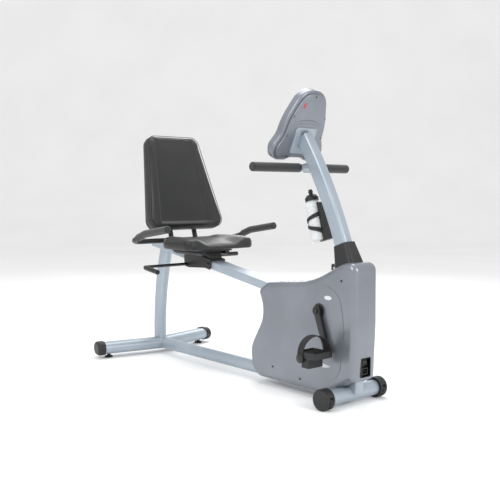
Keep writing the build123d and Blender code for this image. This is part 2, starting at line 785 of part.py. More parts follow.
with BuildPart() as console_back:
    extrude(console_face(-38), amount=24, dir=plate_plane.z_dir)
    fillet(console_back.faces().sort_by(plate_axis)[-1].edges(), 9)
    extrude(console_face(-15, 13), amount=11, dir=plate_plane.z_dir)
    fillet(console_back.faces().sort_by(plate_axis)[-1].edges(), 3)
    extrude(console_face(-38, 4), amount=20, dir=plate_plane.z_dir, mode=Mode.SUBTRACT)
finish(console_back, "console_back")

screen_plane = Plane(origin=plate_plane.origin - plate_plane.z_dir * 56, x_dir=(0, -1, 0),
                     z_dir=-plate_plane.z_dir)
button_spots = [(-42, -30), (0, -30), (42, -30)]

with BuildPart() as console_front:
    extrude(console_face(-56), amount=17.8, dir=plate_plane.z_dir)
    fillet(console_front.faces().sort_by(plate_axis)[0].edges(), 8)
    with BuildSketch(screen_plane):
        with Locations((0, 58)):
            RectangleRounded(150, 84, 8)
        with Locations(*button_spots):
            RectangleRounded(30, 16, 5)
    extrude(amount=-6, mode=Mode.SUBTRACT)
finish(console_front, "console_front")

with BuildPart() as console_screen:
    with BuildSketch(screen_plane.offset(-6)):
        with Locations((0, 58)):
            RectangleRounded(149, 83, 7.5)
    extrude(amount=4)
finish(console_screen, "console_screen")

for (x, y), name in zip(button_spots, ("button_down", "button_start", "button_up")):
    with BuildPart() as button:
        with BuildSketch(screen_plane.offset(-3.5)):
            with Locations((x, y)):
                RectangleRounded(28.8, 14.8, 4.4)
        extrude(amount=5)
        fillet(button.faces().sort_by(Axis(screen_plane.origin, screen_plane.z_dir))[-1].edges(), 1.2)
    finish(button, name)

with BuildPart() as console_plate:
    with BuildSketch(plate_plane.offset(-4)):
        with Locations((0, -40)):
            RectangleRounded(120, 115, 6)
    extrude(amount=4)
finish(console_plate, "console_plate")

# ---------------------------------------------------------------- handlebar on the mast
with BuildPart() as bar_with_offcut:
    add(cylinder_between((bar_x, -bar_half + 6, bar_z), (bar_x, bar_half - 6, bar_z), bar_r))
    add(cylinder_between((bar_x, -bar_half + 6, bar_z), (bar_x, bar_half - 6, bar_z), bar_r - 2),
        mode=Mode.SUBTRACT)
    add(cylinder_between((bar_x + 15, 0, bar_z), (bar_x + 90, 0, bar_z), 17.5))
    add(mast_outer, mode=Mode.SUBTRACT)
    add(cylinder_between((bar_x, -40, bar_z), (bar_x, 40, bar_z), bar_r - 2), mode=Mode.SUBTRACT)
with BuildPart() as handlebar:
    add(bar_with_offcut.part.solids().sort_by(SortBy.VOLUME)[-1])
finish(handlebar, "handlebar")

with BuildPart() as handlebar_grips:
    for side in (-1, 1):
        add(cylinder_between((bar_x, side * 18, bar_z), (bar_x, side * bar_half, bar_z), grip_r))
    for end in (Axis.Y, -Axis.Y):
        fillet(handlebar_grips.faces().sort_by(end)[-1].edges(), 7)
    for side in (-1, 1):
        add(cylinder_between((bar_x, side * 10, bar_z), (bar_x, side * (bar_half - 6), bar_z), bar_r),
            mode=Mode.SUBTRACT)
    add(cylinder_between((bar_x, 0, bar_z), (bar_x + 90, 0, bar_z), 17.8), mode=Mode.SUBTRACT)
finish(handlebar_grips, "handlebar_grips")

# ---------------------------------------------------------------- bottle and cage
lean = math.radians(bottle_tilt)
bottle_up = Vector(-math.sin(lean), 0, math.cos(lean))
bottle_out = Vector(-math.cos(lean), 0, -math.sin(lean))
bottle_foot = Vector(514, 0, 655)


def bottle_turned(points):
    """A profile of radius and height turned round the bottle's axis."""
    with BuildPart(mode=Mode.PRIVATE) as turned:
        with BuildSketch(Plane(origin=bottle_foot, x_dir=(0, 1, 0), z_dir=-bottle_out)) as profile:
            with BuildLine():
                Polyline(*points, close=True)
            make_face()
        revolve(axis=Axis(bottle_foot, bottle_up))
    return turned.part


with BuildPart() as bottle_body:
    add(bottle_turned([(0, 0), (bottle_r - 4, 0), (bottle_r, 4), (bottle_r, 118), (bottle_r - 4, 126),
                       (bottle_r - 4, 138), (bottle_r, 147), (bottle_r - 1, 160), (24, 172), (24, 180),
                       (21.5, 180), (21.5, 170), (bottle_r - 4, 158), (bottle_r - 2.5, 147),
                       (bottle_r - 6.5, 138), (bottle_r - 6.5, 126), (bottle_r - 2.5, 118),
                       (bottle_r - 2.5, 5), (bottle_r - 5, 2.5), (0, 2.5)]))
finish(bottle_body, "bottle_body")

with BuildPart() as bottle_cap:
    add(bottle_turned([(6.3, 184), (24.3, 184), (24.3, 173.5), (29, 173.5), (29, 188), (20, 199), (9, 203),
                       (9, 211), (6.3, 211)]))
finish(bottle_cap, "bottle_cap")

with BuildPart() as bottle_valve:
    add(bottle_turned([(0, 205), (6, 205), (6, 211.6), (10.5, 211.6), (10.5, 215), (8, 218), (8, 223),
                       (0, 223)]))
finish(bottle_valve, "bottle_valve")

cage_bore, cage_thick, spine_width = bottle_r + 0.6, 5.0, 24.0
# seen from the side: outward from the bottle's axis, and up it
side_plane = Plane(origin=bottle_foot, x_dir=bottle_out, z_dir=bottle_out.cross(bottle_up))
spine_points = [(-cage_bore + 2, -5), (-14, -5), (-14, -1), (-cage_bore + 2, -1), (-cage_bore + 2, 150),
                (-cage_bore - 50, 150), (-cage_bore - 85, -5)]
arm_points = [(-36, 122), (40, 90), (40, 70), (-36, 28)]
gap_points = [(-22, 98), (26, 79), (-22, 50)]

with BuildPart() as bottle_cage:
    # looped arms that go round the bottle and meet in front
    with BuildSketch(side_plane):
        with BuildLine():
            Polyline(*arm_points, close=True)
        make_face()
        with BuildLine():
            Polyline(*gap_points, close=True)
        make_face(mode=Mode.SUBTRACT)
    extrude(amount=60, both=True)
    add(cylinder_between(bottle_foot, bottle_foot + bottle_up * 160, cage_bore + cage_thick),
        mode=Mode.INTERSECT)
    # wedge from the bottle to the mast with a shelf under the bottle, and the stop at its top
    with BuildSketch(side_plane):
        with BuildLine():
            Polyline(*spine_points, close=True)
        make_face()
    extrude(amount=spine_width / 2, both=True)
    stop = side_plane.from_local_coords((-cage_bore - 5, 153, 0))
    add(cylinder_between((stop.X, -spine_width / 2, stop.Z), (stop.X, spine_width / 2, stop.Z), 8))
    add(cylinder_between(bottle_foot - bottle_up * 0.5, bottle_foot + bottle_up * 240, cage_bore),
        mode=Mode.SUBTRACT)
    add(mast_outer, mode=Mode.SUBTRACT)
finish(bottle_cage, "bottle_cage")

# ---------------------------------------------------------------- seat carriage
carriage_mid = Vector(-276, 0, rail_z(-276))
carriage_plane = Plane(origin=carriage_mid, x_dir=rail_dir, z_dir=(0, -1, 0))
carriage_inner, carriage_outer = 41.0, 45.0
top_under = rail_height / 2 + 3.6
lever_local_x = (Vector(lever_x, 0, lever_z) - carriage_mid).dot(rail_dir)
lever_local_z = (Vector(lever_x, 0, lever_z) - carriage_mid).dot(rail_up)

with BuildPart() as seat_carriage:
    for side in (-1, 1):
        with BuildSketch(carriage_plane.offset(carriage_inner if side < 0 else -carriage_outer)):
            with BuildLine():
                Polyline((-116, top_under + 4), (100, top_under + 4), (100, -22), (60, -22),
                         (lever_local_x + 22, lever_local_z - 12), (lever_local_x - 14, lever_local_z - 12),
                         (-116, -10), close=True)
            make_face()
        extrude(amount=carriage_outer - carriage_inner)
    with BuildSketch(carriage_plane.offset(-carriage_outer)):
        with BuildLine():
            Polyline((-116, top_under), (100, top_under), (100, top_under + 4), (-116, top_under + 4),
                     close=True)
        make_face()
    extrude(amount=2 * carriage_outer)
    # pedestal that brings the sloping carriage up to the level seat
    with BuildSketch(Plane.XZ.offset(-36)):
        with BuildLine():
            Polyline((-372, rail_z(-372) + 26), (-186, rail_z(-186) + 26), (-200, 572), (-372, 572),
                     close=True)
        make_face()
    extrude(amount=72)
    add(cylinder_between((lever_x, -60, lever_z), (lever_x, 60, lever_z), lever_r + running),
        mode=Mode.SUBTRACT)
finish(seat_carriage, "seat_carriage")

with BuildPart() as slide_pads:
    for x in (-92, 76):
        with BuildSketch(carriage_plane.offset(-34)):
            with Locations((x, top_under - 1.65)):
                Rectangle(40, 3.3)
        extrude(amount=68)
        for side in (-1, 1):
            with BuildSketch(carriage_plane.offset(carriage_inner - 3.2 if side < 0 else -carriage_inner)):
                with Locations((x, 0)):
                    Rectangle(40, 24)
            extrude(amount=3.2)
finish(slide_pads, "slide_pads")

with BuildPart() as carriage_bolts:
    for side in (-1, 1):
        with BuildSketch(carriage_plane.offset(carriage_outer if side < 0 else -carriage_outer - 4)):
            with Locations((78, 2)):
                Circle(7)
        extrude(amount=4)
    chamfer(carriage_bolts.faces().sort_by(Axis.Y)[0].edges(), 1)
    chamfer(carriage_bolts.faces().sort_by(Axis.Y)[-1].edges(), 1)
finish(carriage_bolts, "carriage_bolts")

lever_path = bend_path([(lever_x, 58, lever_z), (lever_x, lever_y, lever_z),
                        (lever_x + 119, lever_y, lever_z - 16)], 16)
with BuildPart() as seat_lever:
    add(round_tube(lever_path, lever_r))
    add(cylinder_between((lever_x + 18, lever_y, lever_z - 2.4),
                         (lever_x + 121, lever_y, lever_z - 16.3), lever_grip_r))
finish(seat_lever, "seat_lever")

# ---------------------------------------------------------------- seat frame, cushions and handles
back_lean = math.atan2(back_bottom[0] - back_top[0], back_top[1] - back_bottom[1])
upright_x, upright_z, upright_y = -467.0, 655.0, 75.0
seat_pan_z = 576.0
with BuildPart() as seat_frame:
    for side in (-1, 1):
        y = side * upright_y
        lean_x = math.tan(back_lean)
        leg_path = bend_path([(-190, y, 563.5), (upright_x + lean_x * (upright_z - 563.5), y, 563.5),
                              (upright_x - lean_x * 110, y, upright_z + 110)], 48)
        add(round_tube(leg_path, 12.5))
    with BuildSketch(Plane.XY.offset(seat_pan_z - 4)):
        with Locations((-285, 0)):
            RectangleRounded(210, 200, 10)
    extrude(amount=4 + seat_z[0] - seat_pan_z - 4)
    add(cylinder_between((-278, 60, 545), (-278, 208, 545), 11))
finish(seat_frame, "seat_frame")

with BuildPart() as seat_cushion:
    with BuildSketch(Plane.XY.offset(seat_z[0])):
        with BuildLine():
            FilletPolyline((seat_x[0], -seat_half_width), (seat_x[1], -seat_half_width),
                           (seat_x[1], seat_half_width), (seat_x[0], seat_half_width), close=True,
                           radius=[80, 45, 45, 80])
        make_face()
    extrude(amount=seat_z[1] - seat_z[0])
    fillet(seat_cushion.faces().sort_by(Axis.Z)[-1].edges(), 22)
finish(seat_cushion, "seat_cushion")

# half width of the seat back at heights up its front face, and the radius of the corner there
back_height = math.dist(back_bottom, back_top)
back_corners = [
    ((back_half_bottom, 0.0), 44.0),
    ((back_half_top, back_height - 16), 50.0),
    ((0.0, back_height + 5), 600.0),
]
back_facing = Vector(math.cos(back_lean), 0, math.sin(back_lean))
back_plane = Plane(origin=(back_bottom[0], 0, back_bottom[1]), x_dir=(0, 1, 0), z_dir=back_facing)

with BuildPart() as seat_back:
    with BuildSketch(back_plane):
        corners = back_corners + [((-y, h), radius) for (y, h), radius in reversed(back_corners[:-1])]
        with BuildLine():
            FilletPolyline(*[corner for corner, _ in corners], close=True,
                           radius=[radius for _, radius in corners])
        make_face()
    extrude(amount=-back_thick_bottom)
    with BuildSketch(Plane.XZ.offset(-260)):
        with BuildLine():
            wedge = [back_plane.from_local_coords(spot) for spot in
                     ((0, -10, -back_thick_bottom), (0, back_height, -back_thick_top),
                      (0, back_height + 30, -140), (0, -10, -140))]
            Polyline(*[(spot.X, spot.Z) for spot in wedge], close=True)
        make_face()
    extrude(amount=520, mode=Mode.SUBTRACT)
    fillet(seat_back.faces().sort_by(Axis(back_plane.origin, back_facing))[-1].edges(), 16)
    add(seat_frame, mode=Mode.SUBTRACT)
finish(seat_back, "seat_back")


def handle_points(side, end_x, end_z):
    """Corner points of one side of the seat handlebar."""
    return [(-440, side * handle_y, 618), (-310, side * handle_y, 663), (end_x, side * handle_y, end_z)]


handle_path = bend_path(list(reversed(handle_points(-1, -128, 690))) + handle_points(1, -128, 690),
                        [60, 50, 50, 60])
with BuildPart() as handle_with_offcuts:
    add(round_tube(handle_path, handle_r))
    add(seat_frame, mode=Mode.SUBTRACT)
with BuildPart() as seat_handlebar:
    add(handle_with_offcuts.part.solids().sort_by(SortBy.VOLUME)[-1])
finish(seat_handlebar, "seat_handlebar")

with BuildPart() as seat_grips:
    for side in (-1, 1):
        grip_path = bend_path([(-372, side * handle_y, 618 + 68 * 45 / 130),
                               (-310, side * handle_y, 663), (-123, side * handle_y, 690.7)], 60)
        add(round_tube(grip_path, seat_grip_r))
    fillet(seat_grips.faces().filter_by(GeomType.PLANE).group_by(Axis.X)[-1].edges(), 6)
    add(round_tube(handle_path, handle_r), mode=Mode.SUBTRACT)
finish(seat_grips, "seat_grips")
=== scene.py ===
import json
import math
import random

import bmesh
import bpy
from mathutils import Matrix, Vector


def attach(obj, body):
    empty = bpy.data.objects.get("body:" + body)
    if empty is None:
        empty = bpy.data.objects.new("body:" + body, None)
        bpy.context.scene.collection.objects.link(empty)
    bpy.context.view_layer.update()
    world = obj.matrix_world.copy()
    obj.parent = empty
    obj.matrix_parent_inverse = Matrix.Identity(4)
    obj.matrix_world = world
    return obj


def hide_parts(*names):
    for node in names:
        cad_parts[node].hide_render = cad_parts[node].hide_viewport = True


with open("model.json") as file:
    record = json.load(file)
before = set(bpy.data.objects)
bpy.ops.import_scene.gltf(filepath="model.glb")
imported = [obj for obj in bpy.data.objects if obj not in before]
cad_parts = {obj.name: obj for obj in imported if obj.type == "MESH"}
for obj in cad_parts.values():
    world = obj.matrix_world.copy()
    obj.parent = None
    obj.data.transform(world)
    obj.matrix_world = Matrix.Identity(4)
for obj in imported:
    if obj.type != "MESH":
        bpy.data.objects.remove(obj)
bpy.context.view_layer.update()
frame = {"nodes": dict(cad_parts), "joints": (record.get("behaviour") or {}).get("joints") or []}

random.seed(11)
nodes = frame["nodes"]
joints = {j["name"]: j for j in frame["joints"]}
mm = 0.001
print("frame loaded:", len(nodes), "nodes")


# colours and material tools

def srgb(hexText):
    # sRGB hex to the linear colour that shaders use
    def linear(part):
        return part / 12.92 if part <= 0.04045 else ((part + 0.055) / 1.055) ** 2.4
    value = hexText.lstrip("#")
    return tuple(linear(int(value[i:i + 2], 16) / 255) for i in (0, 2, 4)) + (1.0,)


def addNode(tree, kind, settings=None, links=None):
    # one node with its settings and what feeds it: settings name an attribute or an input socket
    node = tree.nodes.new(kind)
    for key, value in (settings or {}).items():
        if isinstance(key, str) and hasattr(node, key):
            setattr(node, key, value)
        else:
            node.inputs[key].default_value = value
    for key, (source, output) in (links or {}).items():
        tree.links.new(source.outputs[output], node.inputs[key])
    return node


def startMaterial(name, settings):
    # an empty material with its shader and real-size coordinates
    material = bpy.data.materials.new(name)
    material.use_nodes = True
    tree = material.node_tree
    tree.nodes.clear()
    shader = addNode(tree, "ShaderNodeBsdfPrincipled", settings)
    output = addNode(tree, "ShaderNodeOutputMaterial", {}, {"Surface": (shader, "BSDF")})
    output.location = (400, 0)
    place = addNode(tree, "ShaderNodeTexCoord")
    return material, tree, shader, place


def perMetre(sizeMm):
    # texture scale for a pattern whose cells are that many millimetres across
    return 1.0 / (sizeMm * mm)


def colourDrift(tree, place, shader, low, high, sizeMm, stretch=(1, 1, 1)):
    # slow change of colour over the surface between two close shades
    spread = addNode(tree, "ShaderNodeMapping", {"Scale": stretch}, {"Vector": (place, "Object")})
    noise = addNode(tree, "ShaderNodeTexNoise", {"Scale": perMetre(sizeMm), "Detail": 3.0},
                    {"Vector": (spread, "Vector")})
    ramp = addNode(tree, "ShaderNodeValToRGB", {}, {"Fac": (noise, "Fac")})
    ramp.color_ramp.elements[0].position = 0.3
    ramp.color_ramp.elements[0].color = srgb(low)
    ramp.color_ramp.elements[1].position = 0.7
    ramp.color_ramp.elements[1].color = srgb(high)
    tree.links.new(ramp.outputs["Color"], shader.inputs["Base Color"])
    return ramp


def roughDrift(tree, place, shader, low, high, sizeMm):
    # handling marks: roughness that wanders between two values
    noise = addNode(tree, "ShaderNodeTexNoise", {"Scale": perMetre(sizeMm), "Detail": 4.0},
                    {"Vector": (place, "Object")})
    span = addNode(tree, "ShaderNodeMapRange", {"To Min": low, "To Max": high}, {"Value": (noise, "Fac")})
    tree.links.new(span.outputs["Result"], shader.inputs["Roughness"])


def grain(tree, place, shader, sizeMm, depthMm, strength, kind="ShaderNodeTexNoise", extra=None):
    # fine relief of a real depth; returns the bump so that another can sit on it
    settings = {"Scale": perMetre(sizeMm)}
    settings.update(extra or {})
    height = addNode(tree, kind, settings, {"Vector": (place, "Object")})
    output = "Distance" if kind == "ShaderNodeTexVoronoi" else "Fac"
    bump = addNode(tree, "ShaderNodeBump", {"Strength": strength, "Distance": depthMm * mm},
                   {"Height": (height, output)})
    tree.links.new(bump.outputs["Normal"], shader.inputs["Normal"])
    return bump


# finishes

powderValues = {"low": "#98A3AD", "high": "#A6B1BB", "metallic": 0.45, "drift": 160, "peel": 1.6}


def powderCoatedSteel():
    # silver powder coat baked on welded steel tube: a soft even sheen with faint orange peel
    material, tree, shader, place = startMaterial("powderCoatedSteel", {
        "Metallic": powderValues["metallic"], "Roughness": 0.42, "Coat Weight": 0.15, "Coat Roughness": 0.35})
    colourDrift(tree, place, shader, powderValues["low"], powderValues["high"], powderValues["drift"])
    roughDrift(tree, place, shader, 0.36, 0.46, 30)
    grain(tree, place, shader, powderValues["peel"], 0.10, 0.25)
    return material


coverValues = {"low": "#777C84", "high": "#838890", "metallic": 0.6, "flake": 0.9, "drift": 220}


def paintedAbs():
    # moulded ABS sprayed with silver lacquer: metal flake under a thin clear coat
    material, tree, shader, place = startMaterial("paintedAbs", {
        "Metallic": coverValues["metallic"], "Roughness": 0.38, "IOR": 1.46,
        "Coat Weight": 0.35, "Coat Roughness": 0.18})
    colourDrift(tree, place, shader, coverValues["low"], coverValues["high"], coverValues["drift"])
    roughDrift(tree, place, shader, 0.33, 0.43, 18)
    # real flake is under 0.1 mm; it is drawn at 0.9 mm so that it shows
    grain(tree, place, shader, coverValues["flake"], 0.04, 0.18, extra={"Detail": 1.0})
    return material


def mouldedAbs(name, low, high, roughLow, roughHigh, grainMm, depthMm):
    # black moulded plastic with a spark-eroded mould grain: matt, with a slightly worn sheen
    material, tree, shader, place = startMaterial(name, {"IOR": 1.53})
    colourDrift(tree, place, shader, low, high, 60)
    roughDrift(tree, place, shader, roughLow, roughHigh, 12)
    grain(tree, place, shader, grainMm, depthMm, 0.5, extra={"Detail": 5.0, "Roughness": 0.6})
    return material


vinylValues = {"low": "#0C0D0F", "high": "#131417", "cell": 2.4, "crease": 26}


def upholsteryVinyl():
    # calendered PVC on knit backing, embossed with a leather grain: pebbled, with a soft broad shine
    material, tree, shader, place = startMaterial("upholsteryVinyl", {
        "IOR": 1.5, "Sheen Weight": 0.12, "Sheen Roughness": 0.45, "Coat Weight": 0.10, "Coat Roughness": 0.4})
    colourDrift(tree, place, shader, vinylValues["low"], vinylValues["high"], 90)
    roughDrift(tree, place, shader, 0.40, 0.52, 25)
    warp = addNode(tree, "ShaderNodeTexNoise", {"Scale": perMetre(5), "Detail": 2.0},
                   {"Vector": (place, "Object")})
    nudge = addNode(tree, "ShaderNodeVectorMath", {"operation": "MULTIPLY_ADD", 1: (0.0016, 0.0016, 0.0016)},
                    {0: (warp, "Color"), 2: (place, "Object")})
    cells = addNode(tree, "ShaderNodeTexVoronoi", {
        "feature": "DISTANCE_TO_EDGE", "Scale": perMetre(vinylValues["cell"])}, {"Vector": (nudge, "Vector")})
    pebble = addNode(tree, "ShaderNodeMapRange", {"From Max": 0.18, "interpolation_type": "SMOOTHSTEP"},
                     {"Value": (cells, "Distance")})
    fine = addNode(tree, "ShaderNodeBump", {"Strength": 0.32, "Distance": 0.25 * mm},
                   {"Height": (pebble, "Result")})
    folds = addNode(tree, "ShaderNodeTexNoise", {
        "Scale": perMetre(vinylValues["crease"]), "Detail": 2.0, "Distortion": 0.8}, {"Vector": (place, "Object")})
    slack = addNode(tree, "ShaderNodeBump", {"Strength": 0.35, "Distance": 1.6 * mm},
                    {"Height": (folds, "Fac"), "Normal": (fine, "Normal")})
    tree.links.new(slack.outputs["Normal"], shader.inputs["Normal"])
    return material


def foamedRubber():
    # closed-cell NBR foam sleeve: dull and dark, with fine open pores on its skin
    material, tree, shader, place = startMaterial("foamedRubber", {
        "IOR": 1.45, "Sheen Weight": 0.25, "Sheen Roughness": 0.6})
    colourDrift(tree, place, shader, "#0C0C0E", "#151517", 35)
    roughDrift(tree, place, shader, 0.62, 0.82, 9)
    # pores are about 0.3 mm and are drawn at 1.3 mm so that they show
    grain(tree, place, shader, 1.3, 0.35, 0.55, "ShaderNodeTexVoronoi", {"feature": "F1"})
    return material


def mouldedRubber():
    # solid black rubber: dull, with faint mould bloom
    material, tree, shader, place = startMaterial("mouldedRubber", {"IOR": 1.5})
    colourDrift(tree, place, shader, "#0B0B0C", "#141415", 20)
    roughDrift(tree, place, shader, 0.55, 0.75, 10)
    grain(tree, place, shader, 2.0, 0.12, 0.3)
    return material


def blackPowderCoat():
    # black powder coat on bent tube: a broad highlight along the bends and fine texture
    material, tree, shader, place = startMaterial("blackPowderCoat", {
        "IOR": 1.5, "Coat Weight": 0.12, "Coat Roughness": 0.3})
    colourDrift(tree, place, shader, "#0B0C0D", "#141517", 70)
    roughDrift(tree, place, shader, 0.34, 0.48, 20)
    grain(tree, place, shader, 1.4, 0.10, 0.35)
    return material


def zincPlate():
    # zinc-plated and turned steel: bright, with fine lathe lines
    material, tree, shader, place = startMaterial("zincPlate", {
        "Metallic": 1.0, "Base Color": srgb("#B9BBBD"), "Roughness": 0.3})
    roughDrift(tree, place, shader, 0.22, 0.4, 4)
    grain(tree, place, shader, 1.0, 0.05, 0.2)
    return material


def castIron():
    # turned cast iron: grey, with a grainy skin
    material, tree, shader, place = startMaterial("castIron", {"Metallic": 1.0})
    colourDrift(tree, place, shader, "#55575A", "#6A6C70", 15)
    roughDrift(tree, place, shader, 0.4, 0.6, 8)
    grain(tree, place, shader, 1.2, 0.15, 0.4)
    return material


def blownPolythene():
    # blow-moulded LDPE bottle wall: milky, letting some light through
    material, tree, shader, place = startMaterial("blownPolythene", {
        "IOR": 1.51, "Transmission Weight": 0.22, "Subsurface Weight": 0.5,
        "Subsurface Radius": (0.02, 0.02, 0.02), "Subsurface Scale": 0.3})
    colourDrift(tree, place, shader, "#E3E7E9", "#F1F4F5", 40)
    roughDrift(tree, place, shader, 0.28, 0.4, 15)
    grain(tree, place, shader, 6.0, 0.2, 0.25)
    return material


def displayWindow():
    # smoked acrylic window over a grey-green liquid crystal display: glassy and flat
    material, tree, shader, place = startMaterial("displayWindow", {
        "IOR": 1.49, "Coat Weight": 1.0, "Coat Roughness": 0.04})
    colourDrift(tree, place, shader, "#8E988C", "#98A295", 60)
    roughDrift(tree, place, shader, 0.10, 0.16, 20)
    return material


def printedFilm(name, low, high):
    # thin printed polyester label: smooth and slightly glossy ink
    material, tree, shader, place = startMaterial(name, {"IOR": 1.57, "Coat Weight": 0.3, "Coat Roughness": 0.2})
    colourDrift(tree, place, shader, low, high, 8)
    roughDrift(tree, place, shader, 0.3, 0.42, 6)
    return material


tubePaint = powderCoatedSteel()
coverPaint = paintedAbs()
blackAbs = mouldedAbs("mouldedAbs", "#0E0F11", "#17181A", 0.44, 0.58, 1.1, 0.15)
smoothAbs = mouldedAbs("smoothAbs", "#08090A", "#101112", 0.28, 0.42, 2.5, 0.05)
greyAbs = mouldedAbs("greyAbs", "#5B5F65", "#686C72", 0.4, 0.5, 1.2, 0.08)
vinyl = upholsteryVinyl()
foam = foamedRubber()
rubber = mouldedRubber()
blackSteel = blackPowderCoat()
zinc = zincPlate()
iron = castIron()
polythene = blownPolythene()
displayGlass = displayWindow()
redLabel = printedFilm("redLabelFilm", "#A3262B", "#B43338")
paleLabel = printedFilm("paleLabelFilm", "#C9CCCF", "#D8DADC")
print("materials ready")

nodeFinish = {
    tubePaint: ["rear_stabilizer", "front_stabilizer", "base_rail", "seat_rail", "rear_post", "mast",
                "drive_frame", "console_plate", "handlebar"],
    coverPaint: ["right_cover", "left_cover", "console_back", "console_front"],
    blackAbs: ["rear_caps", "rear_foot_right", "rear_foot_left", "front_caps", "seat_rail_cap", "crank_rings",
               "mast_boot", "pedal_right", "pedal_left", "slide_pads", "drive_pulley"],
    smoothAbs: ["power_panel", "power_switch", "bottle_cap", "bottle_valve", "bottle_cage"],
    greyAbs: ["button_down", "button_start", "button_up"],
    foam: ["handlebar_grips", "seat_grips"],
    rubber: ["transport_wheel_right", "transport_wheel_left", "pedal_strap_right", "pedal_strap_left",
             "drive_belt"],
    blackSteel: ["seat_handlebar", "seat_frame", "seat_lever", "crank_arm_right", "crank_arm_left",
                 "seat_carriage", "magnet_brake", "crank_bolts", "carriage_bolts", "cover_screws"],
    vinyl: ["seat_cushion", "seat_back"],
    zinc: ["wheel_pins", "crank_axle", "pedal_spindles", "crank_bearings", "flywheel_bearings"],
    iron: ["flywheel"],
    polythene: ["bottle_body"],
    displayGlass: ["console_screen"],
}
for material, names in nodeFinish.items():
    for name in names:
        nodes[name].data.materials.clear()
        nodes[name].data.materials.append(material)
print("carried-over nodes painted")


# mesh tools

def meshObject(name, points, faces, material, body, smooth=True):
    mesh = bpy.data.meshes.new(name)
    mesh.from_pydata([tuple(p) for p in points], [], faces)
    work = bmesh.new()
    work.from_mesh(mesh)
    bmesh.ops.recalc_face_normals(work, faces=work.faces)
    work.to_mesh(mesh)
    work.free()
    mesh.materials.append(material)
    mesh.shade_smooth() if smooth else mesh.shade_flat()
    piece = bpy.data.objects.new(name, mesh)
    bpy.context.scene.collection.objects.link(piece)
    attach(piece, body)
    return piece


def ringFaces(first, ringCount, size, closed=True):
    # quads between rings of equal size, with a fan of n-gons left to the caller
    faces = []
    for r in range(ringCount - 1):
        for i in range(size if closed else size - 1):
            a = first + r * size + i
            b = first + r * size + (i + 1) % size
            faces.append((a, b, b + size, a + size))
    return faces


def loft(rings, first=0, capStart=True, capEnd=True):
    # closed skin over rings of equal size
    size = len(rings[0])
    points = [p for ring in rings for p in ring]
    faces = ringFaces(first, len(rings), size)
    if capStart:
        faces.append(tuple(first + i for i in reversed(range(size))))
    if capEnd:
        last = first + (len(rings) - 1) * size
        faces.append(tuple(last + i for i in range(size)))
    return points, faces


def joinParts(parts):
    # several closed skins as one list of points and faces
    points, faces = [], []
    for somePoints, someFaces in parts:
        shift = len(points)
        points += list(somePoints)
        faces += [tuple(i + shift for i in face) for face in someFaces]
    return points, faces


def frameAt(origin, across, up):
    # local axes: x across, y up, z out of the surface
    x = Vector(across).normalized()
    y = Vector(up).normalized()
    z = x.cross(y)
    return Matrix((x, y, z)).transposed().to_4x4(), Vector(origin)


def onto(local, point):
    basis, origin = local
    return origin + basis.to_3x3() @ Vector(point)


def roundedBand(path, normals, width, thick, edge=0.25):
    # a flat strap along a path: width lies along cross(tangent, normal), thickness along the normal
    rings = []
    for i, (point, normal) in enumerate(zip(path, normals)):
        before = path[max(i - 1, 0)]
        after = path[min(i + 1, len(path) - 1)]
        side = (after - before).normalized().cross(normal).normalized()
        w = (width[i] if isinstance(width, list) else width) / 2
        t = (thick[i] if isinstance(thick, list) else thick) / 2
        ring = []
        for across, out in ((-1, -1 + edge), (-1, 1 - edge), (-1 + edge * t / w, 1), (1 - edge * t / w, 1),
                            (1, 1 - edge), (1, -1 + edge), (1 - edge * t / w, -1), (-1 + edge * t / w, -1)):
            ring.append(point + side * (across * w) + normal * (out * t))
        rings.append(ring)
    return loft(rings)


def turned(local, profile, steps=32):
    # a profile of radius and height turned about the local z axis, closed at both ends
    rings = []
    for radius, height in profile:
        rings.append([onto(local, (radius * math.cos(2 * math.pi * k / steps),
                                   radius * math.sin(2 * math.pi * k / steps), height)) for k in range(steps)])
    return loft(rings)


def socketScrew(local, radius, height=1.6 * mm):
    # cap screw with a hexagon socket
    steps = 24
    hexRadius = radius * 0.5
    rings = []
    for r, h in ((radius, -0.4 * mm), (radius, height * 0.6), (radius * 0.86, height), (hexRadius * 1.08, height)):
        rings.append([onto(local, (r * math.cos(2 * math.pi * k / steps), r * math.sin(2 * math.pi * k / steps), h))
                      for k in range(steps)])
    for h in (height * 0.98, -0.1 * mm):
        ring = []
        for k in range(steps):
            angle = 2 * math.pi * k / steps
            flat = hexRadius * math.cos(math.pi / 6) / math.cos((angle % (math.pi / 3)) - math.pi / 6)
            ring.append(onto(local, (flat * math.cos(angle), flat * math.sin(angle), h)))
        rings.append(ring)
    return loft(rings)


def roundedOutline(corners, radii, stepMm=6.0):
    # evenly spaced points round a polygon with rounded corners, counter-clockwise
    points = []
    count = len(corners)
    for i in range(count):
        here = Vector(corners[i])
        toBefore = (Vector(corners[i - 1]) - here).normalized()
        toAfter = (Vector(corners[(i + 1) % count]) - here).normalized()
        half = toBefore.angle(toAfter) / 2
        reach = radii[i] / math.tan(half)
        centre = here + (toBefore + toAfter).normalized() * (radii[i] / math.sin(half))
        start = here + toBefore * reach - centre
        end = here + toAfter * reach - centre
        turn = start.angle(end)
        steps = max(3, int(turn * radii[i] / (stepMm * mm)))
        spin = 1 if start.x * end.y - start.y * end.x > 0 else -1
        for k in range(steps + 1):
            angle = spin * turn * k / steps
            points.append(centre + Vector((start.x * math.cos(angle) - start.y * math.sin(angle),
                                           start.x * math.sin(angle) + start.y * math.cos(angle))))
    lengths = [(points[(i + 1) % len(points)] - points[i]).length for i in range(len(points))]
    total = sum(lengths)
    wanted = int(total / (stepMm * mm) / 4) * 4
    even = []
    i, travelled = 0, 0.0
    for k in range(wanted):
        target = total * k / wanted
        while travelled + lengths[i] < target:
            travelled += lengths[i]
            i += 1
        share = (target - travelled) / max(lengths[i], 1e-9)
        even.append(points[i].lerp(points[(i + 1) % len(points)], share))
    return even


